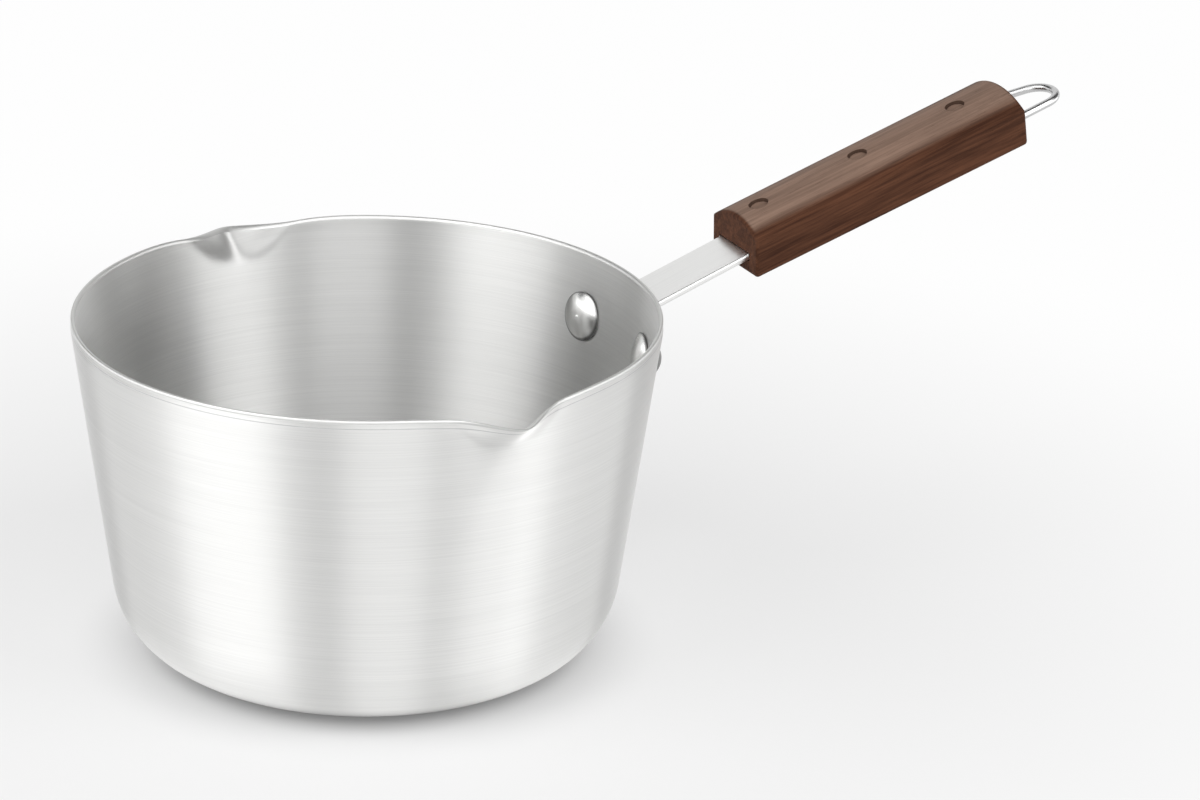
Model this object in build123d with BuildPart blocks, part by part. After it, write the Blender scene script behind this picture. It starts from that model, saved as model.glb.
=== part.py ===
from build123d import *
import os
from math import acos, atan2, cos, radians, sin, sqrt, tan

# Milk pan: a pressed steel pan with two pouring spouts, a strap handle with a wooden grip and a wire loop.
# Millimetres. The origin is the centre of the base, +Z is up and +X runs out along the handle.

# Pan: bore across the rim, height, sheet thickness, lean of the wall from upright, radius round the base
rim_bore = 140.0
pan_height = 85.3
sheet = 1.2
wall_lean = 8.0
base_corner = 21.0
rim_round = 0.3

# Pouring spouts: turn from square to the handle, reach past the rim, drop of the rim at the tip,
# depth of the pressed groove, half width of the groove and of the drop, seen from the pan's axis
spout_turn = 3.5
spout_reach = 7.0
spout_dip = 2.7
spout_depth = 10.5
groove_half_angle = 13.5
dip_half_angle = 28.0
tip_round_share = 0.24
groove_foot_share = 0.4
groove_fade_power = 1.5
dip_power = 1.5
band_level_shares = (1.0, 0.8, 0.6, 0.4, 0.2, -0.04)
spout_points = 10
dip_points = 12

# Bracket: one piece of steel with a curved foot on the pan's wall, a bent strap and a tang inside the grip
strap_thickness = 1.6
strap_width = 15.2
strap_edge = 0.6
strap_length = 30.4
strap_rise = 19.9
bend_radius = 4.0
crease_radius = 30.0
crease_ahead = 2.0
foot_height = 11.5
foot_half_angle = 21.5
foot_corner = 3.5
wall_gap = 0.05
tang_start = 4.0
tang_short = 7.4
tang_end_width = 9.0
tang_end_round = 2.0

# Rivets: drop of their line below the rim, half angle between them, head inside, shank, tail outside
rivet_drop = 16.2
rivet_half_angle = 13.5
rivet_head = 12.3
rivet_head_height = 2.1
rivet_head_edge = 0.3
rivet_shank = 5.0
rivet_tail = 8.6
rivet_tail_height = 2.1
rivet_play = 0.05

# Grip: length on the tang's line, its sections, the tang's height in it, lean of its ends off square
grip_length = 79.7
grip_rise = 18.3
grip_near_width = 23.3
grip_far_width = 24.6
grip_height = 12.7
grip_crown = 3.5
grip_shoulder = 3.4
grip_bottom_round = 1.2
grip_end_round = 0.9
grip_under_tang = 4.35
near_cut = 17.1
far_cut = 10.3
slot_play = 0.25

# Pins through the tang, the first and last from the ends of the grip, and the wooden plugs sunk over them
pin_count = 3
pin_first = 9.4
pin_last = 12.1
pin_diameter = 3.0
pin_skin = 1.3
pin_chamfer = 0.3
plug_diameter = 5.0
plug_floor = 2.6
plug_sink = 0.9
plug_chamfer = 0.2
fit_play = 0.05

# Hanging loop: one wire, both legs held in the grip's far end
wire = 2.1
loop_half_spread = 7.4
loop_depth = 11.0
loop_reach = 15.3
loop_round = 5.8
loop_lead = 0.6
loop_bend = 4.0
loop_rise = 13.4
loop_above_tang = 1.1
loop_clear = 0.5

overrun = 2.0

os.makedirs("parts", exist_ok=True)

lean = tan(radians(wall_lean))
sheet_across = sheet / cos(radians(wall_lean))
rim_radius = rim_bore / 2 + sheet_across
band_foot = pan_height - spout_depth


def outer_radius(height):
    """Radius of the plain wall's outer face at a height above the base."""
    return rim_radius - lean * (pan_height - height)


def inner_radius(height):
    """Radius of the plain wall's inner face at a height above the base."""
    return outer_radius(height) - sheet_across


def lip(place):
    """Form of a spout and its slope: 1 at the tip, place 0, down to nothing at place 1 or -1, tip rounded."""
    if abs(place) >= 1:
        return 0.0, 0.0
    tip = tip_round_share
    span = sqrt(1 + tip**2) - tip
    rounded = (sqrt(place**2 + tip**2) - tip) / span
    turning = place / sqrt(place**2 + tip**2) / span
    return (1 - rounded) ** 2, -2 * (1 - rounded) * turning


def band_point(middle, angle, below, inset):
    """A point of the spout's section, an angle off its middle, moved in square to the section by inset."""
    fade = min(1, 1 - below / spout_depth)
    half = groove_half_angle * (groove_foot_share + (1 - groove_foot_share) * fade)
    at_tip = (1 - spout_dip / spout_depth) ** groove_fade_power
    full = (spout_reach + lean * spout_dip) / at_tip * fade**groove_fade_power
    form, form_slope = lip(angle / half)
    radius = outer_radius(pan_height - below) + full * form
    slope = full * form_slope / radians(half)
    size = sqrt(radius**2 + slope**2)
    out = radius - inset * radius / size
    along = inset * slope / size
    turn = radians(middle + angle)
    return (out * cos(turn) - along * sin(turn), out * sin(turn) + along * cos(turn))


def band_outline(below, inset):
    """Closed outline of the pan's upper band at a depth below the rim: two spouts and two plain arcs."""
    half = groove_half_angle
    for middle in (90 + spout_turn, 270 + spout_turn):
        angles = [half * i / spout_points for i in range(-spout_points, spout_points + 1)]
        points = [band_point(middle, angle, below, inset) for angle in angles]
        ends = [radians(middle - half + 90), radians(middle + half + 90)]
        Spline(*points, tangents=[(cos(end), sin(end)) for end in ends])
        plain = outer_radius(pan_height - below) - inset
        CenterArc((0, 0), plain, start_angle=middle + half, arc_size=180 - 2 * half)


def wall_plane(angle):
    """Plane on the wall's inner face at the rivets' height, its y into the pan and its x along the wall."""
    turn, tilt = radians(angle), radians(wall_lean)
    radius = inner_radius(rivet_height)
    inward = Vector(-cos(turn) * cos(tilt), -sin(turn) * cos(tilt), sin(tilt))
    along = Vector(-sin(turn), cos(turn), 0)
    middle = (radius * cos(turn), radius * sin(turn), rivet_height)
    return Plane(origin=middle, x_dir=along, z_dir=along.cross(inward))


def square_plane(angle):
    """The same place on the wall, with the plane's z pointing into the pan along the rivet."""
    upright = wall_plane(angle)
    return Plane(origin=upright.origin, x_dir=upright.x_dir, z_dir=upright.y_dir)


def in_grip(along, up):
    """Point of the handle's upright plane, along the tang from the grip's face and up square to it."""
    turn = radians(grip_rise)
    return (
        grip_face.X + along * cos(turn) - up * sin(turn),
        0,
        grip_face.Z + along * sin(turn) + up * cos(turn),
    )


def grip_plane(along, up=0.0, cut=0.0):
    """Plane across the grip, its z along the grip, its x across it; cut leans it off square."""
    turn = radians(grip_rise - cut)
    return Plane(origin=in_grip(along, up), x_dir=(0, 1, 0), z_dir=(cos(turn), 0, sin(turn)))


def tang_plane(up=0.0):
    """Plane of the tang, its x along the grip and its y across it, raised by up."""
    turn = radians(grip_rise)
    return Plane(origin=in_grip(0, up), x_dir=(cos(turn), 0, sin(turn)), z_dir=(-sin(turn), 0, cos(turn)))


def tang_outline(length, play=0.0):
    """The tang seen from above on its plane: full width where the strap enters, drawn in to a rounded end."""
    root, tip = strap_width / 2 + play, tang_end_width / 2 + play
    Polygon((0, root), (length, tip), (length, -tip), (0, -root), align=None)
    fillet(vertices().group_by(Axis.X)[-1], tang_end_round)


def dome_point(width, height, base):
    """A point of a dome's arc half way out from its middle, for a dome of some width and height on a base."""
    radius = (width**2 / 4 + height**2) / (2 * height)
    return (width / 4, base + height - radius + sqrt(radius**2 - width**2 / 16))


rivet_height = pan_height - rivet_drop
spout_side = radians(spout_turn)
across_spouts = Plane(
    origin=(0, 0, 0),
    x_dir=(cos(spout_side), sin(spout_side), 0),
    z_dir=(sin(spout_side), -cos(spout_side), 0),
)

# The strap's middle line: up the wall, out at the bend above the foot, and flatter just before the grip
foot_top = rivet_height + foot_height / 2 * cos(radians(wall_lean))
bend_turn = 90 - wall_lean - strap_rise
bend_height = foot_top + bend_radius * tan(radians(bend_turn / 2)) * cos(radians(wall_lean))
middle_out = (wall_gap + strap_thickness / 2) / cos(radians(wall_lean))
bend_corner = Vector(outer_radius(bend_height) + middle_out, 0, bend_height)
strap_way = Vector(cos(radians(strap_rise)), 0, sin(radians(strap_rise)))
crease = bend_corner + strap_way * (strap_length - crease_ahead)
tang_way = Vector(cos(radians(grip_rise)), 0, sin(radians(grip_rise)))
grip_face = crease + tang_way * crease_ahead

loop_start = in_grip(grip_length, loop_above_tang)
loop_way = (cos(radians(loop_rise)), 0, sin(radians(loop_rise)))
loop_plane = Plane(origin=loop_start, x_dir=loop_way, z_dir=(-loop_way[2], 0, loop_way[0]))
loop_end = Plane(origin=loop_start, x_dir=(0, 1, 0), z_dir=loop_way)
plug_foot = strap_thickness / 2 + slot_play + plug_floor
pin_pitch = (grip_length - pin_first - pin_last) / (pin_count - 1)
pin_places = [(pin_first + i * pin_pitch, 0) for i in range(pin_count)]
tang_length = grip_length - tang_short

# Pan: the drawn lower part is turned, the upper band with its two spouts is lofted from level to level
with BuildPart() as pan_body:
    for mode, radius_at, foot, inset in (
        (Mode.ADD, outer_radius, 0, 0),
        (Mode.SUBTRACT, inner_radius, sheet, sheet_across),
    ):
        with BuildSketch(Plane.XZ):
            Polygon(
                (0, foot),
                (radius_at(foot), foot),
                (radius_at(band_foot), band_foot),
                (0, band_foot),
                align=None,
            )
            fillet(vertices().group_by(Axis.Y)[0].sort_by(Axis.X)[-1], base_corner - foot)
        revolve(axis=Axis.Z, mode=mode)
        for share in band_level_shares:
            with BuildSketch(Plane.XY.offset(pan_height - share * spout_depth)):
                with BuildLine():
                    band_outline(share * spout_depth, inset)
                make_face()
        loft(mode=mode)
    # The rim sinks towards each spout's tip
    cut_half = rim_radius + 2 * spout_reach
    dip_half = rim_radius * sin(radians(dip_half_angle))
    steps = [i / dip_points for i in range(-dip_points, dip_points + 1)]
    with BuildSketch(across_spouts):
        with BuildLine():
            rim_line = Spline(
                *[(dip_half * step, pan_height - spout_dip * lip(step)[0] ** dip_power) for step in steps],
                tangents=[(1, 0), (1, 0)],
            )
            Polyline(
                rim_line @ 1,
                (cut_half, pan_height),
                (cut_half, pan_height + overrun),
                (-cut_half, pan_height + overrun),
                (-cut_half, pan_height),
                rim_line @ 0,
            )
        make_face()
    extrude(amount=cut_half, both=True, mode=Mode.SUBTRACT)
    rim_foot = pan_height - spout_dip - sheet
    rim_edges = edges().filter_by(lambda e: e.bounding_box().min.Z > rim_foot and e.length > 2 * sheet)
    fillet(rim_edges, rim_round)
    for side in (-1, 1):
        with BuildSketch(square_plane(side * rivet_half_angle)):
            Circle(rivet_shank / 2 + rivet_play)
        extrude(amount=sheet + overrun, both=True, mode=Mode.SUBTRACT)
pan_body.part.label = "pan_body"
export_step(pan_body.part, "parts/pan_body.step")

# Bracket: the foot is a strip of the wall's cone with rounded corners, the strap is swept, the tang tapers
with BuildPart() as handle_bracket:
    with BuildSketch(Plane.XZ.rotated((0, 0, -2 * foot_half_angle))):
        with BuildLine():
            low, high = rivet_height - foot_height, rivet_height + foot_height
            near = wall_gap / cos(radians(wall_lean))
            far = near + strap_thickness / cos(radians(wall_lean))
            Polyline(
                (outer_radius(low) + near, low),
                (outer_radius(low) + far, low),
                (outer_radius(high) + far, high),
                (outer_radius(high) + near, high),
                close=True,
            )
        make_face()
    revolve(axis=Axis.Z, revolution_arc=4 * foot_half_angle)
    foot_half = outer_radius(rivet_height) * sin(radians(foot_half_angle))
    with BuildSketch(square_plane(0)):
        RectangleRounded(2 * foot_half, foot_height, foot_corner)
    extrude(amount=-rim_radius, mode=Mode.INTERSECT)
    with BuildLine(Plane.XZ) as strap_line:
        FilletPolyline(
            (outer_radius(rivet_height) + middle_out, rivet_height),
            (bend_corner.X, bend_corner.Z),
            (crease.X, crease.Z),
            in_grip(tang_start, 0)[::2],
            radius=(bend_radius, crease_radius),
        )
    with BuildSketch(Plane(origin=strap_line.line @ 0, x_dir=(0, 1, 0), z_dir=strap_line.line % 0)):
        RectangleRounded(strap_width, strap_thickness, strap_edge)
    sweep(path=strap_line.line)
    with BuildSketch(tang_plane()):
        tang_outline(tang_length)
    extrude(amount=strap_thickness / 2, both=True)
    with BuildSketch(tang_plane()):
        with Locations(*pin_places):
            Circle(pin_diameter / 2 + fit_play)
    extrude(amount=strap_thickness, both=True, mode=Mode.SUBTRACT)
    for side in (-1, 1):
        with BuildSketch(square_plane(side * rivet_half_angle)):
            Circle(rivet_shank / 2 + rivet_play)
        extrude(amount=-sheet - strap_thickness - overrun, mode=Mode.SUBTRACT)
handle_bracket.part.label = "handle_bracket"
export_step(handle_bracket.part, "parts/handle_bracket.step")

# Rivets: a low polished dome inside the pan, a shank through the wall and the foot, a small dome outside
head_seat = rivet_head**2 / (8 * inner_radius(rivet_height))
head_base = head_seat + rivet_head_edge
tail_seat = sheet + wall_gap + strap_thickness + rivet_play
for index, side in enumerate((-1, 1), start=1):
    with BuildPart() as rivet:
        wall = wall_plane(side * rivet_half_angle)
        with BuildSketch(wall):
            with BuildLine():
                Line((0, -tail_seat - rivet_tail_height), (0, rivet_head_height))
                ThreePointArc(
                    (0, rivet_head_height),
                    dome_point(rivet_head, rivet_head_height - head_base, head_base),
                    (rivet_head / 2, head_base),
                )
                Polyline(
                    (rivet_head / 2, head_base),
                    (rivet_head / 2, head_seat),
                    (rivet_shank / 2, head_seat),
                    (rivet_shank / 2, -tail_seat),
                    (rivet_tail / 2, -tail_seat),
                )
                tail_x, tail_y = dome_point(rivet_tail, rivet_tail_height, 0)
                ThreePointArc(
                    (rivet_tail / 2, -tail_seat),
                    (tail_x, -tail_seat - tail_y),
                    (0, -tail_seat - rivet_tail_height),
                )
            make_face()
        revolve(axis=Axis(origin=wall.origin, direction=wall.y_dir))
    rivet.part.label = f"rivet_{index}"
    export_step(rivet.part, f"parts/rivet_{index}.step")

# Grip: lofted a little past both ends, cut by the two leaning ends, with the slot and holes for what it holds
with BuildPart() as grip:
    for along in (-grip_height / 2, grip_length + grip_height / 2):
        width = grip_near_width + (grip_far_width - grip_near_width) * along / grip_length
        with BuildSketch(grip_plane(along, -grip_under_tang)):
            with BuildLine():
                side_top = grip_height - grip_crown
                Polyline((-width / 2, side_top), (-width / 2, 0), (width / 2, 0), (width / 2, side_top))
                ThreePointArc((width / 2, side_top), (0, grip_height), (-width / 2, side_top))
            make_face()
            levels = vertices().group_by(Axis.Y)
            fillet(levels[0], grip_bottom_round)
            fillet(levels[-1], grip_shoulder)
    loft(ruled=True)
    near_end, far_end = grip_plane(0, cut=near_cut), grip_plane(grip_length, cut=far_cut)
    split(bisect_by=near_end, keep=Keep.TOP)
    split(bisect_by=far_end, keep=Keep.BOTTOM)
    for end in (near_end, far_end):
        rounded = edges().filter_by(lambda e: abs(end.to_local_coords(e.center()).Z) < fit_play)
        fillet(rounded, grip_end_round)
    with BuildSketch(tang_plane()):
        tang_outline(tang_length + slot_play, slot_play)
        Rectangle(2 * overrun, strap_width + 2 * slot_play)
    extrude(amount=strap_thickness / 2 + slot_play, both=True, mode=Mode.SUBTRACT)
    with BuildSketch(tang_plane(pin_skin - grip_under_tang)):
        with Locations(*pin_places):
            Circle(pin_diameter / 2 + fit_play)
    extrude(amount=plug_foot + grip_under_tang - pin_skin, mode=Mode.SUBTRACT)
    with BuildSketch(tang_plane(plug_foot)):
        with Locations(*pin_places):
            Circle(plug_diameter / 2)
    extrude(amount=grip_height, mode=Mode.SUBTRACT)
    with BuildSketch(loop_end):
        with Locations((-loop_half_spread, 0), (loop_half_spread, 0)):
            Circle(wire / 2 + fit_play)
    extrude(amount=-loop_depth - loop_clear, mode=Mode.SUBTRACT)
    with BuildSketch(loop_end):
        with Locations((-loop_half_spread, 0), (loop_half_spread, 0)):
            Circle(wire / 2 + fit_play)
    extrude(amount=overrun, mode=Mode.SUBTRACT)
grip.part.label = "grip"
export_step(grip.part, "parts/grip.step")

# Pins cross the tang and stop short of the grip's underside, plugs close their holes below the crown
for index, (along, across) in enumerate(pin_places, start=1):
    with BuildPart() as tang_pin:
        with BuildSketch(tang_plane(pin_skin + fit_play - grip_under_tang)):
            with Locations((along, across)):
                Circle(pin_diameter / 2)
        extrude(amount=plug_foot + grip_under_tang - pin_skin - 2 * fit_play)
        chamfer(edges().filter_by(GeomType.CIRCLE), pin_chamfer)
    tang_pin.part.label = f"tang_pin_{index}"
    export_step(tang_pin.part, f"parts/tang_pin_{index}.step")
    with BuildPart() as grip_plug:
        with BuildSketch(tang_plane(plug_foot)):
            with Locations((along, across)):
                Circle(plug_diameter / 2 - fit_play)
        extrude(amount=grip_height - grip_under_tang - plug_sink - plug_foot)
        chamfer(edges().filter_by(GeomType.CIRCLE), plug_chamfer)
    grip_plug.part.label = f"grip_plug_{index}"
    export_step(grip_plug.part, f"parts/grip_plug_{index}.step")

# Hanging loop: two legs in the grip's far end that draw together into a round end
with BuildPart() as hanging_loop:
    span = sqrt(loop_half_spread**2 + (loop_reach - loop_round - loop_lead) ** 2)
    closing = acos(loop_round / span) - atan2(loop_reach - loop_round - loop_lead, loop_half_spread)
    with BuildLine(loop_plane) as loop_line:
        FilletPolyline(
            (-loop_depth, loop_half_spread),
            (loop_lead, loop_half_spread),
            (loop_lead + loop_half_spread / tan(closing), 0),
            (loop_lead, -loop_half_spread),
            (-loop_depth, -loop_half_spread),
            radius=(loop_bend, loop_round, loop_bend),
        )
    with BuildSketch(Plane(origin=loop_line.line @ 0, z_dir=loop_line.line % 0)):
        Circle(wire / 2)
    sweep(path=loop_line.line)
hanging_loop.part.label = "hanging_loop"
export_step(hanging_loop.part, "parts/hanging_loop.step")
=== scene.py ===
"""Looks of a small milk pan: brushed steel with two pouring spouts, a dark wooden grip and a wire loop.

Sizes are in millimetres and degrees. A mesh is turned into metres when it is made, in the frame's own axes:
the origin is the centre of the base, +Z is up and +X runs out along the handle.
"""
import logging
import math
from dataclasses import dataclass, field
from enum import Enum, IntEnum
from typing import Any, Iterable, Optional, Sequence, Union

import bpy
from mathutils import Matrix, Vector


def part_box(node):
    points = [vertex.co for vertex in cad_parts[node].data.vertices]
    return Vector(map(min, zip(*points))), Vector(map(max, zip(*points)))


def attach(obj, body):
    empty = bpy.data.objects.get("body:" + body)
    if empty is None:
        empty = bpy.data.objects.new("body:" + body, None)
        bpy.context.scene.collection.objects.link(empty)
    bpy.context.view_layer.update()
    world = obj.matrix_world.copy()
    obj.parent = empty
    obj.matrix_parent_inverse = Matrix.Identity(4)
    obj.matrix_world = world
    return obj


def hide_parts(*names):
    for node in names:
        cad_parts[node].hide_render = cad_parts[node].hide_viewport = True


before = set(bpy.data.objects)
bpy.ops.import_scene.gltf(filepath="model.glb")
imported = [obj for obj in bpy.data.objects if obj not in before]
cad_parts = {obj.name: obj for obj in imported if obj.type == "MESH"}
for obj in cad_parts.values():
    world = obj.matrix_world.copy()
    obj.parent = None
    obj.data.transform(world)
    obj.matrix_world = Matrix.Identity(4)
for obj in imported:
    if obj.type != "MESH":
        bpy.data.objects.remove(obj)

MM = 0.001
BODY = "root"
IMAGE_WIDTH = 1200
WALL_LEAN = 8

log = logging.getLogger("milk_pan")
Number = Union[int, float]
Point = tuple[float, float, float]
Tint = tuple[float, float, float]


class Value:
    """One output socket of a node tree, with arithmetic written as Python operators."""

    def __init__(self, graph: "Graph", socket: Optional[bpy.types.NodeSocket]) -> None:
        """Keeps the socket and the graph that it belongs to."""
        self.graph = graph
        self.socket = socket

    def _math(self, operation: str, *terms: "Term") -> "Value":
        """Adds one Math node.

        Args:
            operation: The Math node's operation.
            terms: Its inputs, in order.

        Returns:
            The node's result.
        """
        return self.graph.node("ShaderNodeMath", {"operation": operation}, dict(enumerate(terms)))

    def __add__(self, other: "Term") -> "Value":
        """Sum."""
        return self._math("ADD", self, other)

    def __radd__(self, other: "Term") -> "Value":
        """Sum, number first."""
        return self._math("ADD", other, self)

    def __sub__(self, other: "Term") -> "Value":
        """Difference."""
        return self._math("SUBTRACT", self, other)

    def __rsub__(self, other: "Term") -> "Value":
        """Difference, number first."""
        return self._math("SUBTRACT", other, self)

    def __mul__(self, other: "Term") -> "Value":
        """Product."""
        return self._math("MULTIPLY", self, other)

    def __truediv__(self, other: "Term") -> "Value":
        """Quotient."""
        return self._math("DIVIDE", self, other)

    def at_least(self, other: "Term") -> "Value":
        """The larger of two values."""
        return self._math("MAXIMUM", self, other)

    def swing(self, size: Number) -> "Value":
        """A value of 0 to 1 as a swing of this size, half of it to either side of nothing."""
        return (self - 0.5) * size

    def step(self, low: Number, high: Number) -> "Value":
        """A smooth rise from 0 at low to 1 at high."""
        return self.graph.node(
            "ShaderNodeMapRange",
            {"interpolation_type": "SMOOTHSTEP"},
            {0: self, "From Min": low, "From Max": high},
        )


Term = Union[Value, int, float]


class ColourMix(IntEnum):
    """Places of the sockets that a Mix node has for colours."""

    SHARE = 0
    FIRST = 6
    SECOND = 7
    RESULT = 2


class Graph:
    """A material's or the world's node tree, with one call for every node."""

    def __init__(self, tree: bpy.types.NodeTree) -> None:
        """Empties the tree and keeps it."""
        self.tree = tree
        tree.nodes.clear()

    def node(
        self,
        kind: str,
        settings: Optional[dict[str, Any]] = None,
        inputs: Optional[dict[Union[str, int], Any]] = None,
        out: Union[str, int] = 0,
    ) -> Value:
        """Adds a node, sets it and joins it up.

        Args:
            kind: The node's type.
            settings: Its settings, set before its sockets.
            inputs: A value, a colour or a link for each of its sockets, by name or number.
            out: The output socket that is wanted.

        Returns:
            That output.
        """
        made = self.tree.nodes.new(kind)
        for name, setting in (settings or {}).items():
            setattr(made, name, setting)
        for name, value in (inputs or {}).items():
            if isinstance(value, Value):
                self.tree.links.new(value.socket, made.inputs[name])
            else:
                made.inputs[name].default_value = value
        return Value(self, made.outputs[out] if made.outputs else None)

    def position(self) -> Value:
        """The point being shaded, in metres, in the object's own axes."""
        return self.node("ShaderNodeTexCoord", out="Object")

    def along(self, vector: Value, direction: Iterable[float]) -> Value:
        """How far a point lies along a direction."""
        terms = {0: vector, 1: tuple(direction)}
        return self.node("ShaderNodeVectorMath", {"operation": "DOT_PRODUCT"}, terms, out="Value")

    def from_axis(self, vector: Value) -> Value:
        """How far a point lies from the pan's upright axis."""
        flat = self.node("ShaderNodeVectorMath", {"operation": "MULTIPLY"}, {0: vector, 1: (1, 1, 0)})
        return self.length(flat)

    def length(self, vector: Value) -> Value:
        """Length of a vector."""
        return self.node("ShaderNodeVectorMath", {"operation": "LENGTH"}, {0: vector}, out="Value")

    def vector(self, x: Term, y: Term, z: Term) -> Value:
        """A vector from three values."""
        return self.node("ShaderNodeCombineXYZ", None, {0: x, 1: y, 2: z})

    def scaled(self, vector: Value, size: float) -> Value:
        """A vector in which one unit stands for a size in millimetres."""
        terms = {0: vector, "Scale": 1 / (size * MM)}
        return self.node("ShaderNodeVectorMath", {"operation": "SCALE"}, terms)

    def noise(self, vector: Value, detail: float = 2, rough: float = 0.5) -> Value:
        """A noise from 0 to 1 with one cell for each unit of the vector."""
        inputs = {"Vector": vector, "Scale": 1, "Detail": detail, "Roughness": rough}
        return self.node("ShaderNodeTexNoise", None, inputs)

    def blend(self, share: Term, first: Any, second: Any) -> Value:
        """A colour between two colours.

        Args:
            share: 0 for the first and 1 for the second.
            first: A colour or a link.
            second: A colour or a link.

        Returns:
            The blended colour.
        """
        terms = {ColourMix.SHARE: share, ColourMix.FIRST: first, ColourMix.SECOND: second}
        return self.node("ShaderNodeMix", {"data_type": "RGBA"}, terms, ColourMix.RESULT)

    def bump(self, height: Value, depth: float) -> Value:
        """A surface normal from a height of 0 to 1 that stands for a depth in millimetres."""
        return self.node("ShaderNodeBump", None, {"Height": height, "Strength": 1, "Distance": depth * MM})


def colour(red: float, green: float, blue: float, shade: float = 1) -> tuple[float, float, float, float]:
    """A colour with full alpha, darkened or lightened by a shade."""
    return (red * shade, green * shade, blue * shade, 1)


def dot(first: Point, second: Point) -> float:
    """How far one point lies along the direction of another."""
    return sum(a * b for a, b in zip(first, second))


def half_turn(angle: float) -> float:
    """The same angle, from -180 up to 180."""
    return (angle + 180) % 360 - 180


@dataclass(frozen=True)
class Finish:
    """What every finish has: a name, and the record's slot that it stands for, empty in the studio."""

    name: str
    slot: str

    def material(self) -> bpy.types.Material:
        """Makes the material from the nodes that the finish's own shade method adds.

        Returns:
            The material.
        """
        made = bpy.data.materials.new(self.name)
        made.use_nodes = True
        graph = Graph(made.node_tree)
        graph.node("ShaderNodeOutputMaterial", None, {"Surface": self.shade(graph)})
        return made

    def shade(self, graph: Graph) -> Value:
        """Adds the nodes of the finish and returns its shader."""
        raise NotImplementedError


class Brushing(Enum):
    """Which way the fine lines of a brushed surface run."""

    ROUND_THE_PAN = "round the pan"
    ALONG_THE_STRAP = "along the strap"


@dataclass(frozen=True)
class BrushedSteel(Finish):
    """Steel with fine lines that run one way, with painted shade low down or where it lies on the pan's wall.
    """

    brushing: Brushing = Brushing.ROUND_THE_PAN
    tint: Tint = (0.785, 0.785, 0.775)
    roughness: float = 0.5
    roughness_swing: float = 0.06
    stretch: float = 1.0
    stretch_turn: float = 0.25
    line_length: float = 45
    fine_pitch: float = 0.22
    broad_pitch: float = 2.64
    broad_share: float = 0.2
    line_from: float = 0.25
    line_to: float = 0.75
    line_contrast: float = 0.05
    line_depth: float = 0.0011
    # Painted shade at the pan's foot: the steel is painted darker below this height.
    painted_shade_below: Optional[float] = 7
    painted_shade_below_tone: float = 0.45
    # Painted shade where the strap's foot lies on the pan's wall, within this distance of the axis.
    painted_shade_within: Optional[float] = None
    painted_shade_within_fade: float = 1.5
    painted_shade_within_tone: float = 0.35

    def lines(self, graph: Graph, place: Value) -> Value:
        """Adds the fine and the broad lines.

        Args:
            graph: The node tree.
            place: The point.

        Returns:
            The height of the lines, from 0 to 1.
        """
        if self.brushing is Brushing.ROUND_THE_PAN:
            across = graph.along(place, (0, 0, 1)) + graph.from_axis(place)
            first, second = graph.along(place, (1, 0, 0)), graph.along(place, (0, 1, 0))
        else:
            across = graph.along(place, (0, 1, 0))
            first, second = graph.along(place, (1, 0, 0)), graph.along(place, (0, 0, 1))
        run, aside = first / (self.line_length * MM), second / (self.line_length * MM)
        fine = graph.noise(graph.vector(run, aside, across / (self.fine_pitch * MM)), detail=3, rough=0.65)
        broad = graph.noise(graph.vector(run, aside, across / (self.broad_pitch * MM)))
        return fine * (1 - self.broad_share) + broad * self.broad_share

    def shade(self, graph: Graph) -> Value:
        """Adds the lines with their sheen and relief, and the painted shade low down or on the wall.

        Args:
            graph: The node tree.

        Returns:
            The shader.
        """
        place = graph.position()
        lines = self.lines(graph, place)
        dark, light = colour(*self.tint, 1 - self.line_contrast), colour(*self.tint, 1 + self.line_contrast)
        tone = graph.blend(lines.step(self.line_from, self.line_to), dark, light)
        # Painted shade: the steel is painted darker near the pan's axis, in the crease where the strap's foot
        # meets the wall.
        if self.painted_shade_within is not None:
            inner, outer = self.painted_shade_within - self.painted_shade_within_fade, self.painted_shade_within
            foot = 1 - graph.from_axis(place).step(inner * MM, outer * MM)
            tone = graph.blend(foot, tone, colour(*self.tint, self.painted_shade_within_tone))
        # Painted shade: the steel gets darker towards the floor, standing for the shadow where the pan meets
        # the floor.
        if self.painted_shade_below is not None:
            base = 1 - graph.along(place, (0, 0, 1)).step(0, self.painted_shade_below * MM)
            tone = graph.blend(base, tone, colour(*self.tint, self.painted_shade_below_tone))
        return graph.node("ShaderNodeBsdfPrincipled", None, {
            "Base Color": tone,
            "Metallic": 1,
            "Roughness": self.roughness + lines.swing(self.roughness_swing),
            "Anisotropic": self.stretch,
            "Anisotropic Rotation": self.stretch_turn,
            "Normal": graph.bump(lines, self.line_depth),
        })


@dataclass(frozen=True)
class PolishedSteel(Finish):
    """Polished steel with faint handling marks."""

    tint: Tint = (0.76, 0.76, 0.75)
    roughness: float = 0.26
    roughness_swing: float = 0.08
    mark_size: float = 2.2
    mark_depth: float = 0.0015
    mark_dark: float = 0.95
    mark_light: float = 1.04

    def marks(self, graph: Graph) -> Value:
        """The handling marks, from 0 to 1."""
        return graph.noise(graph.scaled(graph.position(), self.mark_size), detail=4, rough=0.6)

    def tone(self, graph: Graph, marks: Value) -> Value:
        """The steel's colour under the marks."""
        return graph.blend(marks, colour(*self.tint, self.mark_dark), colour(*self.tint, self.mark_light))

    def polish(self, graph: Graph, marks: Value, tone: Value, rough: Value) -> Value:
        """Adds the shader.

        Args:
            graph: The node tree.
            marks: The handling marks.
            tone: The steel's colour.
            rough: Its roughness.

        Returns:
            The shader.
        """
        return graph.node("ShaderNodeBsdfPrincipled", None, {
            "Base Color": tone,
            "Metallic": 1,
            "Roughness": rough,
            "Normal": graph.bump(marks, self.mark_depth),
        })

    def rough(self, marks: Value) -> Value:
        """The roughness under the marks."""
        return self.roughness + marks.swing(self.roughness_swing)

    def shade(self, graph: Graph) -> Value:
        """Adds the steel and its marks."""
        marks = self.marks(graph)
        return self.polish(graph, marks, self.tone(graph, marks), self.rough(marks))


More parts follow.
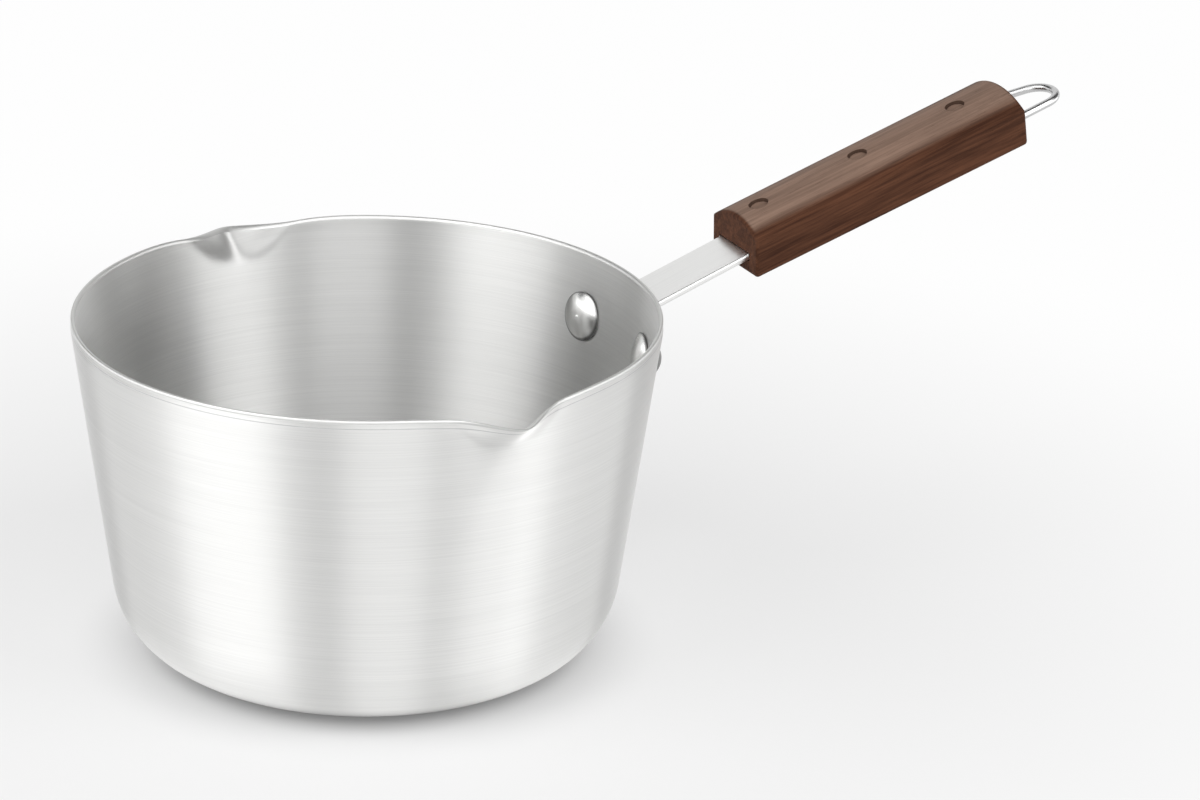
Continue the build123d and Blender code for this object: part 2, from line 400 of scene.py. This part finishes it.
@dataclass(frozen=True)
class RivetSteel(PolishedSteel):
    """Polished rivet steel: a bright head with a painted shade ring round its edge, and a darker, rougher
    tail outside the pan.

    The tail is told from the head by how far it lies from the pan's axis. As the wall leans, the tail's first
    part also reaches the head's upper edge, but only where the painted shade ring darkens it too.
    """

    roughness: float = 0.24
    middle: Point = (0, 0, 0)
    lean: float = WALL_LEAN
    # Painted shade ring round the head's edge: its inner and outer radius, and how dark it is.
    painted_ring_from: float = 5.35
    painted_ring_to: float = 5.95
    painted_ring_shade: float = 0.3
    tail_from: float = 67.5
    tail_to: float = 68.5
    tail_shade: float = 0.3
    tail_roughness: float = 0.15

    def shade(self, graph: Graph) -> Value:
        """Adds the steel, its marks, the painted shade ring round the head, and the darker, rougher tail.

        Args:
            graph: The node tree.

        Returns:
            The shader.
        """
        turn = math.radians(self.lean)
        upright = (math.sin(turn), 0, math.cos(turn))
        place, marks = graph.position(), self.marks(graph)
        side = graph.along(place, (0, 1, 0)) - self.middle[1] * MM
        height = graph.along(place, upright) - dot(self.middle, upright) * MM
        # Painted shade: a ring round the head's edge is painted darker.
        painted_ring = graph.length(graph.vector(side, height, 0)).step(self.painted_ring_from * MM, self.painted_ring_to * MM)
        tail = graph.from_axis(place).step(self.tail_from * MM, self.tail_to * MM)
        tone = graph.blend(painted_ring, self.tone(graph, marks), colour(*self.tint, self.painted_ring_shade))
        tone = graph.blend(tail, tone, colour(*self.tint, self.tail_shade))
        return self.polish(graph, marks, tone, self.rough(marks) + tail * self.tail_roughness)


@dataclass(frozen=True)
class Grain:
    """A pattern in wood, drawn out along the grip."""

    length: float
    width: float
    detail: float = 2
    rough: float = 0.5

    def pattern(
        self, graph: Graph, run: Value, side: Value, height: Value, waver: Optional[Value] = None
    ) -> Value:
        """Adds the pattern.

        Args:
            graph: The node tree.
            run: The point's place along the grip.
            side: Its place across the grip.
            height: Its height above the grip's foot, square to the grip.
            waver: How far the pattern is pushed aside there, in its own widths.

        Returns:
            The pattern, from 0 to 1.
        """
        across, above = side / (self.width * MM), height / (self.width * MM)
        if waver is not None:
            across, above = across + waver, above + waver
        return graph.noise(graph.vector(run / (self.length * MM), across, above), self.detail, self.rough)


@dataclass(frozen=True)
class DarkWood(Finish):
    """Dark oiled hardwood grained along the grip, painted sheen on top short of its ends, painted shade in
    recesses.
    """

    rise: float = 18.3
    length: float = 79.7
    near_lean: float = 17.1
    far_lean: float = 10.3
    start: Point = (99.53, 0, 87.47)
    recesses: tuple[float, ...] = (9.4, 38.5, 67.6)
    recess_radius: float = 2.5
    recess_reach: float = 0.04
    recess_sharp: float = 0.02
    recess_soft: float = 0.06
    # Painted shade on the recess walls: how much of it, and how dark.
    recess_painted_shade_share: float = 0.65
    recess_painted_shade: float = 0.6
    dark: Tint = (0.037, 0.0143, 0.008)
    light: Tint = (0.110, 0.046, 0.025)
    tone_from: float = 0.3
    tone_to: float = 0.7
    # Painted sheen: the paler colour painted on the grip's top, and the heights where it starts.
    painted_sheen: Tint = (0.255, 0.166, 0.124)
    painted_sheen_dim: float = 0.62
    painted_sheen_from: float = 6.0
    painted_sheen_to: float = 7.4
    painted_sheen_swing: float = 0.8
    end_from: float = 0.3
    end_to: float = 1.2
    drift: Grain = Grain(length=50, width=9)
    rings: Grain = Grain(length=70, width=2.6, rough=0.6)
    ring_waver: float = 3
    ring_share: float = 0.35
    streaks: Grain = Grain(length=22, width=0.8, detail=3, rough=0.65)
    streak_relief: float = 0.3
    pores: Grain = Grain(length=8, width=0.2, rough=0.7)
    pore_from: float = 0.6
    pore_to: float = 0.74
    pore_share: float = 0.55
    pore_shade: float = 0.7
    pore_depth: float = 0.045
    pore_roughness: float = 0.12
    roughness: float = 0.58
    roughness_swing: float = 0.16
    gloss: float = 0.06

    def shade(self, graph: Graph) -> Value:
        """Adds the rings, the streaks, the open pores, the painted sheen on top short of the ends, and the
        painted shade in the recesses.

        Args:
            graph: The node tree.

        Returns:
            The shader.
        """
        turn = math.radians(self.rise)
        axis, upright = (math.cos(turn), 0, math.sin(turn)), (-math.sin(turn), 0, math.cos(turn))
        place = graph.position()
        run, side = graph.along(place, axis), graph.along(place, (0, 1, 0))
        height = graph.along(place, upright) - dot(self.start, upright) * MM
        drift = self.drift.pattern(graph, run, side, height)
        rings = self.rings.pattern(graph, run, side, height, drift * self.ring_waver)
        streaks = self.streaks.pattern(graph, run, side, height)
        pores = self.pores.pattern(graph, run, side, height).step(self.pore_from, self.pore_to)
        tone = (rings * self.ring_share + streaks * (1 - self.ring_share)).step(self.tone_from, self.tone_to)
        base = graph.blend(tone, colour(*self.dark), colour(*self.light))
        # Painted sheen: the grip's top is painted paler, where light falls on it.
        painted_sheen_colour = graph.blend(tone, colour(*self.painted_sheen, self.painted_sheen_dim), colour(*self.painted_sheen))
        wood = graph.blend(self.painted_top_sheen(graph, place, height, drift), base, painted_sheen_colour)
        # Painted shade: the upright walls of the recesses are painted darker.
        for recess in self.recesses:
            wall = self.recess_wall(graph, run - (dot(self.start, axis) + recess) * MM, side)
            wood = graph.blend(wall * self.recess_painted_shade_share, wood, colour(*self.dark, self.recess_painted_shade))
        relief = (1 - pores) * (1 - self.streak_relief) + streaks * self.streak_relief
        rough = self.roughness + streaks.swing(self.roughness_swing)
        return graph.node("ShaderNodeBsdfPrincipled", None, {
            "Base Color": graph.blend(pores * self.pore_share, wood, colour(*self.dark, self.pore_shade)),
            "Roughness": rough + pores * self.pore_roughness,
            "Specular IOR Level": self.gloss,
            "Normal": graph.bump(relief, self.pore_depth),
        })

    def painted_top_sheen(self, graph: Graph, place: Value, height: Value, drift: Value) -> Value:
        """How far a point is painted paler on top, as painted sheen.

        Args:
            graph: The node tree.
            place: The point.
            height: Its height above the grip's foot, square to the grip.
            drift: The slow pattern that makes the edge uneven.

        Returns:
            0 for dark wood and 1 for the painted sheen on top.
        """
        uneven = height + drift.swing(self.painted_sheen_swing * MM)
        painted_top_sheen = uneven.step(self.painted_sheen_from * MM, self.painted_sheen_to * MM)
        # The painted sheen fades out before both ends, which stay dark.
        for lean, end, way in ((self.near_lean, 0, 1), (self.far_lean, self.length, -1)):
            painted_top_sheen = painted_top_sheen * self.off_end(graph, place, lean, end, way).step(self.end_from * MM, self.end_to * MM)
        return painted_top_sheen

    def recess_wall(self, graph: Graph, off: Value, side: Value) -> Value:
        """How much a point belongs to the upright wall of one recess.

        Args:
            graph: The node tree.
            off: The point's distance from the recess's middle, along the grip.
            side: Its place across the grip.

        Returns:
            0 off the wall and 1 on it.
        """
        radius = graph.length(graph.vector(off, side, 0))
        inner, outer = self.recess_radius - self.recess_reach, self.recess_radius + self.recess_reach
        past_inner = radius.step(inner * MM, (inner + self.recess_sharp) * MM)
        past_outer = radius.step(outer * MM, (outer + self.recess_soft) * MM)
        return past_inner * (1 - past_outer)

    def off_end(self, graph: Graph, place: Value, lean: float, end: float, way: int) -> Value:
        """How far a point lies inside one leaning end of the grip.

        Args:
            graph: The node tree.
            place: The point.
            lean: The end's lean off square, in degrees.
            end: The end's place along the grip.
            way: 1 for the near end and -1 for the far end.

        Returns:
            The distance in metres.
        """
        rise, turn = math.radians(self.rise), math.radians(self.rise - lean)
        across = (math.cos(turn) * way, 0, math.sin(turn) * way)
        foot = (self.start[0] + end * math.cos(rise), 0, self.start[2] + end * math.sin(rise))
        return graph.along(place, across) - dot(foot, across) * MM


@dataclass(frozen=True)
class Matt(Finish):
    """A plain matt grey with a faint grain."""

    tone: float = 0.03
    grain_size: float = 25
    grain_share: float = 0.005

    def shade(self, graph: Graph) -> Value:
        """Adds a matt shader."""
        grain = graph.noise(graph.scaled(graph.position(), self.grain_size))
        dark, light = colour(1, 1, 1, self.tone * (1 - self.grain_share)), colour(1, 1, 1, self.tone)
        return graph.node("ShaderNodeBsdfDiffuse", None, {"Color": graph.blend(grain, dark, light)})


@dataclass(frozen=True)
class PaleGround(Matt):
    """The plain pale floor, which takes the pan's shadow near it and shows white by itself further off."""

    tone: float = 0.64
    contact_share: float = 0.12
    own_share: float = 0.63
    far_share: float = 0.98
    contact_from: float = 44
    contact_to: float = 74
    white_from: float = 110
    white_to: float = 330

    def shade(self, graph: Graph) -> Value:
        """Adds a matt shader and the share that shows white.

        Args:
            graph: The node tree.

        Returns:
            The shader.
        """
        off = graph.from_axis(graph.position())
        clear = off.step(self.contact_from * MM, self.contact_to * MM)
        far = off.step(self.white_from * MM, self.white_to * MM)
        share = self.contact_share + clear * (self.own_share - self.contact_share)
        share = share + far * (self.far_share - self.own_share)
        white = graph.node("ShaderNodeEmission", None, {"Color": colour(1, 1, 1), "Strength": 1})
        terms = {0: seen(graph) * share, 1: super().shade(graph), 2: white}
        return graph.node("ShaderNodeMixShader", None, terms)


def seen(graph: Graph) -> Value:
    """Tells whether the camera looks straight at a surface, or sees it in metal or through glass.

    Args:
        graph: The node tree.

    Returns:
        1 if it does and 0 if not.
    """
    camera = graph.node("ShaderNodeLightPath", out="Is Camera Ray")
    glossy = graph.node("ShaderNodeLightPath", out="Is Glossy Ray")
    through = graph.node("ShaderNodeLightPath", out="Is Transmission Ray")
    return camera.at_least(glossy).at_least(through)


@dataclass
class MeshWork:
    """Turns rows of points into smooth meshes."""

    sharp_angle: float = 35

    def loft(
        self, name: str, rows: Sequence[Sequence[Point]], closed: bool = True, capped: bool = False
    ) -> bpy.types.Object:
        """Makes a skin through rows of points.

        Args:
            name: The object's name.
            rows: The rows, in millimetres, all with as many points.
            closed: Whether each row joins up with its own start.
            capped: Whether the first and last rows are closed by one face each.

        Returns:
            The object.
        """
        count = len(rows[0])
        points = [tuple(axis * MM for axis in point) for row in rows for point in row]
        faces = []
        for low in range(0, (len(rows) - 1) * count, count):
            high = low + count
            for here in range(count if closed else count - 1):
                beside = (here + 1) % count
                faces.append((low + here, low + beside, high + beside, high + here))
        if capped:
            end = (len(rows) - 1) * count
            faces.append(tuple(range(count))[::-1])
            faces.append(tuple(range(end, end + count)))
        mesh = bpy.data.meshes.new(name)
        mesh.from_pydata(points, [], faces)
        mesh.update()
        mesh.shade_smooth()
        mesh.set_sharp_from_angle(angle=math.radians(self.sharp_angle))
        made = bpy.data.objects.new(name, mesh)
        bpy.context.scene.collection.objects.link(made)
        return made


class Skin(IntEnum):
    """Which of the pan's finishes a face has."""

    WALL = 0
    RIM = 1
    # A darker finish painted as a shadow line in the groove under the rim's bead.
    PAINTED_SHADOW_LINE = 2


@dataclass
class PanBody:
    """The pressed pan: a turned lower part, an upper band with two pouring spouts, and a rounded rim."""

    wall: Finish = BrushedSteel("pan_steel", "pan_steel")
    rim: Finish = PolishedSteel("rim_steel", "pan_steel", tint=(0.62, 0.62, 0.61), roughness=0.48)
    # Painted shadow: a darker line in the small groove under the rim's bead.
    painted_shadow_line: Finish = PolishedSteel("rim_painted_shadow_line_steel", "pan_steel", tint=(0.56, 0.56, 0.56), roughness=0.46)

    rim_bore: float = 140
    pan_height: float = 85.3
    sheet: float = 1.2
    wall_lean: float = WALL_LEAN
    base_corner: float = 21
    spout_turn: float = 3.5
    spout_reach: float = 7
    spout_dip: float = 2.7
    spout_depth: float = 10.5
    groove_half_angle: float = 13.5
    dip_half_angle: float = 28
    tip_round_share: float = 0.24
    groove_foot_share: float = 0.4
    groove_fade_power: float = 1.5
    dip_power: float = 1.5
    drop_rounds: int = 3
    rim_foot: float = 3.0
    ease_inset: float = 0.03
    ease_depth: float = 2.5
    line_inset: float = 0.14
    line_low: float = 2.15
    line_high: float = 1.9
    rim_draw: float = 0.28
    neck_low: float = 1.6
    neck_high: float = 1.25
    bead_depth: float = 0.8
    bead_steps: int = 8
    rim_swell: float = 0.22
    swell_high: float = 1.3
    swell_low: float = 2.1
    base_shares: tuple[float, ...] = (0.02, 0.2, 0.4, 0.6, 0.8, 0.93)
    corner_steps: int = 18
    wall_steps: int = 7
    band_rows: int = 11
    fine_step: float = 0.5
    wide_step: float = 1.5
    fine_half_angle: float = 16

    def __post_init__(self) -> None:
        """Works out the sizes that follow from the others."""
        turn = math.radians(self.wall_lean)
        self.lean = math.tan(turn)
        self.across = self.sheet / math.cos(turn)
        self.rim_radius = self.rim_bore / 2 + self.across
        self.band_foot = self.pan_height - self.spout_depth

    def outer_radius(self, height: float) -> float:
        """Radius of the plain wall's outer face at a height."""
        return self.rim_radius - self.lean * (self.pan_height - height)

    def lip(self, place: float) -> tuple[float, float]:
        """Form of a spout: 1 at its tip, down to nothing at its sides.

        Args:
            place: 0 at the tip and 1 or -1 at the sides.

        Returns:
            The form and its slope.
        """
        if abs(place) >= 1:
            return 0.0, 0.0
        tip = self.tip_round_share
        span = math.hypot(1, tip) - tip
        rounded = (math.hypot(place, tip) - tip) / span
        return (1 - rounded) ** 2, -2 * (1 - rounded) * place / math.hypot(place, tip) / span

    def band_point(self, middle: float, angle: float, below: float, inset: float) -> tuple[float, float]:
        """A point of the upper band's section.

        Args:
            middle: The direction of the nearer spout.
            angle: The point's angle off that direction.
            below: The section's depth below the plain rim.
            inset: How far the point lies in from the outer face, square to the section.

        Returns:
            The point's place on the section.
        """
        fade = min(1.0, max(0.0, 1 - below / self.spout_depth))
        half = self.groove_half_angle * (self.groove_foot_share + (1 - self.groove_foot_share) * fade)
        at_tip = (1 - self.spout_dip / self.spout_depth) ** self.groove_fade_power
        full = (self.spout_reach + self.lean * self.spout_dip) / at_tip * fade**self.groove_fade_power
        form, form_slope = self.lip(angle / half)
        radius = self.outer_radius(self.pan_height - below) + full * form
        slope = full * form_slope / math.radians(half)
        size = math.hypot(radius, slope)
        out, aside = radius - inset * radius / size, inset * slope / size
        turn = math.radians(middle + angle)
        return out * math.cos(turn) - aside * math.sin(turn), out * math.sin(turn) + aside * math.cos(turn)

    def rim_drop(self, middle: float, angle: float) -> float:
        """How far the rim has sunk near a spout.

        Args:
            middle: The direction of the spout.
            angle: The point's angle off that direction.

        Returns:
            The drop below the plain rim.
        """
        sideways = math.radians(middle - 90)
        reach = self.rim_radius * math.sin(math.radians(self.dip_half_angle))
        drop = 0.0
        for _ in range(self.drop_rounds):
            x, y = self.band_point(middle, angle, drop, 0)
            aside = x * math.cos(sideways) + y * math.sin(sideways)
            drop = self.spout_dip * self.lip(aside / reach)[0] ** self.dip_power
        return drop

    def turned_part(self, inside: bool) -> list[tuple[float, float]]:
        """The turned lower part's section.

        Args:
            inside: Whether it is the inner face and not the outer one.

        Returns:
            Radii and heights, from the middle of the base to the band's foot.
        """
        foot, inset = (self.sheet, self.across) if inside else (0.0, 0.0)
        corner, turn = self.base_corner - foot, math.radians(self.wall_lean)
        flat = self.outer_radius(foot) - inset - corner * math.tan(math.radians(90 - self.wall_lean) / 2)
        rows = [(flat * share, foot) for share in self.base_shares]
        for step in range(self.corner_steps + 1):
            swing = -math.pi / 2 + (math.pi / 2 - turn) * step / self.corner_steps
            rows.append((flat + corner * math.cos(swing), foot + corner + corner * math.sin(swing)))
        top = rows[-1][1]
        for step in range(1, self.wall_steps):
            height = top + (self.band_foot - top) * step / self.wall_steps
            rows.append((self.outer_radius(height) - inset, height))
        return rows

    def turned_run(self, turn: float, inside: bool) -> list[Point]:
        """The turned lower part's points in one direction.

        Args:
            turn: The direction.
            inside: Whether they are on the inner face and not on the outer one.

        Returns:
            The points, from the middle of the base to the band's foot.
        """
        way, section = math.radians(turn), self.turned_part(inside)
        return [(radius * math.cos(way), radius * math.sin(way), height) for radius, height in section]

    def rim_section(self) -> list[tuple[float, float, Skin]]:
        """The rim's section, from outside over the top to inside.

        Returns:
            For each point, its inset from the outer face, its depth below the rim's top and its finish.
        """
        thick = self.across + self.rim_swell
        half = (thick - self.rim_draw) / 2
        rows = [(0.0, self.rim_foot, Skin.WALL), (self.ease_inset, self.ease_depth, Skin.WALL)]
        # Painted shadow line: the groove under the bead gets the darker finish.
        rows += [(self.line_inset, depth, Skin.PAINTED_SHADOW_LINE) for depth in (self.line_low, self.line_high)]
        rows += [(self.rim_draw, depth, Skin.WALL) for depth in (self.neck_low, self.neck_high)]
        for step in range(self.bead_steps + 1):
            swing = math.pi * step / self.bead_steps
            inset = self.rim_draw + half - half * math.cos(swing)
            rows.append((inset, self.bead_depth - self.bead_depth * math.sin(swing), Skin.RIM))
        rows += [(thick, self.swell_high, Skin.WALL), (thick - self.rim_swell / 2, self.swell_low, Skin.WALL)]
        return rows + [(self.across, self.rim_foot, Skin.WALL)]

    def column(self, turn: float) -> tuple[list[Point], list[Skin]]:
        """One upright run of points, from under the base up over the rim to the middle of the inner base.

        Args:
            turn: The run's angle round the pan.

        Returns:
            The points, and the finish of each.
        """
        middle = min(self.spout_turns(), key=lambda spout: abs(half_turn(turn - spout)))
        off = half_turn(turn - middle)
        drop = self.rim_drop(middle, off)
        rim, rows = self.rim_section(), range(self.band_rows)
        under = drop + self.rim_foot
        levels = [self.spout_depth + (under - self.spout_depth) * row / self.band_rows for row in rows]
        run = self.turned_run(turn, False)
        run += [(*self.band_point(middle, off, below, 0), self.pan_height - below) for below in levels]
        skins = [Skin.WALL] * len(run) + [skin for _, _, skin in rim]
        for inset, depth, _ in rim:
            run.append((*self.band_point(middle, off, drop + depth, inset), self.pan_height - drop - depth))
        for below in levels[::-1]:
            run.append((*self.band_point(middle, off, below, self.across), self.pan_height - below))
        run += self.turned_run(turn, True)[::-1]
        return run, skins + [Skin.WALL] * (len(run) - len(skins))

    def spout_turns(self) -> tuple[float, float]:
        """Directions of the two spouts."""
        return 90 + self.spout_turn, 270 + self.spout_turn

    def turns(self) -> list[float]:
        """The runs' places round the pan.

        Returns:
            Their angles, close together at the spouts.
        """
        fine, half = self.fine_step, self.fine_half_angle
        rest = 180 - 2 * half
        count = round(rest / self.wide_step)
        found = []
        for middle in self.spout_turns():
            found += [middle - half + fine * step for step in range(round(2 * half / fine))]
            found += [middle + half + rest * step / count for step in range(count)]
        return found

    def build(self) -> None:
        """Makes the pan and dresses it."""
        runs = [self.column(turn) for turn in self.turns()]
        rows = [[points[row] for points, _ in runs] for row in range(len(runs[0][0]))]
        skins = runs[0][1]
        made = MeshWork().loft("pan", rows, capped=True)
        for finish in (self.wall, self.rim, self.painted_shadow_line):
            made.data.materials.append(finish.material())
        for face in made.data.polygons:
            row = face.index // len(runs)
            if row < len(skins) - 1 and skins[row] == skins[row + 1]:
                face.material_index = int(skins[row])
        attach(made, BODY)
        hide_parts("pan_body")
        log.info("pan: %d faces", len(made.data.polygons))


@dataclass
class Handle:
    """The handle's pieces, whose shapes are right in the frame and only need their finishes."""

    strap: Finish = BrushedSteel(
        "strap_steel",
        "bracket_steel",
        Brushing.ALONG_THE_STRAP,
        tint=(0.82, 0.82, 0.81),
        roughness=0.3,
        stretch=0,
        painted_shade_below=None,
        painted_shade_within=72.5,
    )
    pin: Finish = PolishedSteel("pin_steel", "rivet_steel")
    wood: Finish = DarkWood("dark_wood", "grip_wood")
    loop: Finish = PolishedSteel("loop_steel", "loop_steel", tint=(0.56, 0.56, 0.56), roughness=0.3)
    rivets: tuple[str, ...] = ("rivet_1", "rivet_2")
    pins: tuple[str, ...] = ("tang_pin_1", "tang_pin_2", "tang_pin_3")
    wooden: tuple[str, ...] = ("grip", "grip_plug_1", "grip_plug_2", "grip_plug_3")

    def build(self) -> None:
        """Dresses the pieces in order."""
        dress("handle_bracket", self.strap)
        for node in self.rivets:
            low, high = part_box(node)
            middle = tuple((a + b) / 2 / MM for a, b in zip(low, high))
            dress(node, RivetSteel(f"{node}_steel", "rivet_steel", middle=middle))
        for node in self.pins:
            dress(node, self.pin)
        for node in self.wooden:
            dress(node, self.wood)
        dress("hanging_loop", self.loop)


def dress(node: str, finish: Finish) -> None:
    """Gives a piece of the frame its finish.

    Args:
        node: The piece's name.
        finish: What it gets.
    """
    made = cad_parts[node]
    made.data.materials.clear()
    made.data.materials.append(finish.material())
    log.info("%s: %s", node, finish.name)


@dataclass
class Camera:
    """The photograph's viewpoint: how far off and how high, which way it looks and how long its lens is."""

    distance: float = 1132.9
    height: float = 507.0
    handle_turn: float = 24.4
    aim: float = 2.836
    down: float = 21.377
    roll: float = -1.278
    focal_pixels: float = 5045.4
    sensor: float = 36
    sight: float = 100000

    def build(self) -> None:
        """Makes the camera and makes it the scene's own."""
        data = bpy.data.cameras.new("view")
        data.sensor_fit = "HORIZONTAL"
        data.sensor_width = self.sensor
        data.lens = self.focal_pixels / IMAGE_WIDTH * self.sensor
        data.clip_end = self.sight * MM
        made = bpy.data.objects.new("view", data)
        bpy.context.scene.collection.objects.link(made)
        turn, heading = math.radians(self.handle_turn), math.radians(self.handle_turn + self.aim)
        pitch, roll = math.radians(self.down), math.radians(self.roll)
        flat = math.cos(pitch)
        forward = Vector((math.sin(heading) * flat, math.cos(heading) * flat, -math.sin(pitch)))
        level = Vector((math.cos(heading), -math.sin(heading), 0))
        low = forward.cross(level)
        right = level * math.cos(roll) + low * math.sin(roll)
        under = low * math.cos(roll) - level * math.sin(roll)
        made.matrix_world = Matrix((right, -under, -forward)).transposed().to_4x4()
        made.location = Vector((-math.sin(turn), -math.cos(turn), 0)) * self.distance * MM
        made.location.z = self.height * MM
        bpy.context.scene.camera = made


@dataclass
class Stand:
    """What stands round the pan in the studio and faces it, out of the camera's sight.

    Its bearing is measured at the pan from the camera's direction, to the right when it is more than 0.
    """

    name: str
    bearing: float
    distance: float
    middle_height: float
    width: float
    tall: float
    heading: float = 27.24
    aim_height: float = 60

    def put(self, data: Union[bpy.types.Mesh, bpy.types.Light]) -> bpy.types.Object:
        """Puts a lamp or a card in its place and turns it to the pan.

        Args:
            data: The lamp or the card's mesh.

        Returns:
            Its object.
        """
        turn = math.radians(self.heading + 180 - self.bearing)
        place = Vector((math.sin(turn) * self.distance, math.cos(turn) * self.distance, self.middle_height))
        made = bpy.data.objects.new(self.name, data)
        bpy.context.scene.collection.objects.link(made)
        made.location = place * MM
        made.rotation_euler = (Vector((0, 0, self.aim_height)) - place).to_track_quat("-Z", "Y").to_euler()
        made.visible_camera = False
        return made


@dataclass
class Softbox(Stand):
    """A large soft lamp, whose glow is how bright its face is, with 1 for white."""

    glow: float = 1

    def build(self) -> None:
        """Makes the lamp."""
        data = bpy.data.lights.new(self.name, "AREA")
        data.shape = "RECTANGLE"
        data.size, data.size_y = self.width * MM, self.tall * MM
        data.energy = self.glow * math.pi * data.size * data.size_y
        self.put(data)


@dataclass
class Card(Stand):
    """A plain dark card that keeps light off the pan from one side."""

    def build(self) -> None:
        """Makes the card."""
        half, tall = self.width * MM / 2, self.tall * MM / 2
        corners = [(-half, -tall, 0), (half, -tall, 0), (half, tall, 0), (-half, tall, 0)]
        data = bpy.data.meshes.new(self.name)
        data.from_pydata(corners, [], [(0, 1, 2, 3)])
        data.materials.append(Matt(self.name, "").material())
        self.put(data)


@dataclass
class Studio:
    """Pale floor, white surroundings, soft lamps and dark cards."""

    floor_half: float = 12000
    surroundings: float = 0.56
    low: dict[str, float] = field(default_factory=lambda: dict(distance=950, middle_height=170, tall=340))
    high: dict[str, float] = field(default_factory=lambda: dict(distance=1200, middle_height=1250, tall=1300))
    front: dict[str, float] = field(default_factory=lambda: dict(distance=1600, middle_height=900, tall=1300))
    card: dict[str, float] = field(default_factory=lambda: dict(distance=760, middle_height=950, tall=1500))

    def stands(self) -> list[Union[Softbox, Card]]:
        """What stands round the pan.

        Returns:
            The lamps and the cards.
        """
        return [
            Softbox("left_low_softbox", bearing=-75, width=1900, glow=1.36, **self.low),
            Softbox("left_high_softbox", bearing=-60, width=1300, glow=2.9, **self.high),
            Softbox("right_low_softbox", bearing=90, width=1050, glow=1.5, **self.low),
            Softbox("right_high_softbox", bearing=66, width=1000, glow=2.9, **self.high),
            Softbox("front_softbox", bearing=10, width=1000, glow=1.8, **self.front),
            Card("left_card", bearing=-124, width=950, **self.card),
            Card("right_card", bearing=124, width=900, **self.card),
        ]

    def build(self) -> None:
        """Makes the floor, the surroundings, the lamps and the cards."""
        half = self.floor_half
        corners = [[(-half, -half, 0), (half, -half, 0)], [(-half, half, 0), (half, half, 0)]]
        floor = MeshWork().loft("floor", corners, closed=False)
        floor.data.materials.append(PaleGround("pale_ground", "").material())
        world = bpy.data.worlds.new("surroundings")
        world.use_nodes = True
        bpy.context.scene.world = world
        graph = Graph(world.node_tree)
        strength = self.surroundings + seen(graph) * (1 - self.surroundings)
        back = graph.node("ShaderNodeBackground", None, {"Color": colour(1, 1, 1), "Strength": strength})
        graph.node("ShaderNodeOutputWorld", None, {"Surface": back})
        stands = self.stands()
        for stand in stands:
            stand.build()
        log.info("studio with %d lamps and cards", len(stands))


def main() -> None:
    """Builds the camera, the studio, the pan and the handle."""
    logging.basicConfig(level=logging.INFO, format="%(name)s: %(message)s")
    bpy.context.scene.view_settings.view_transform = "Standard"
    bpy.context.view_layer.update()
    Camera().build()
    Studio().build()
    PanBody().build()
    Handle().build()


if __name__ == "__main__":
    main()
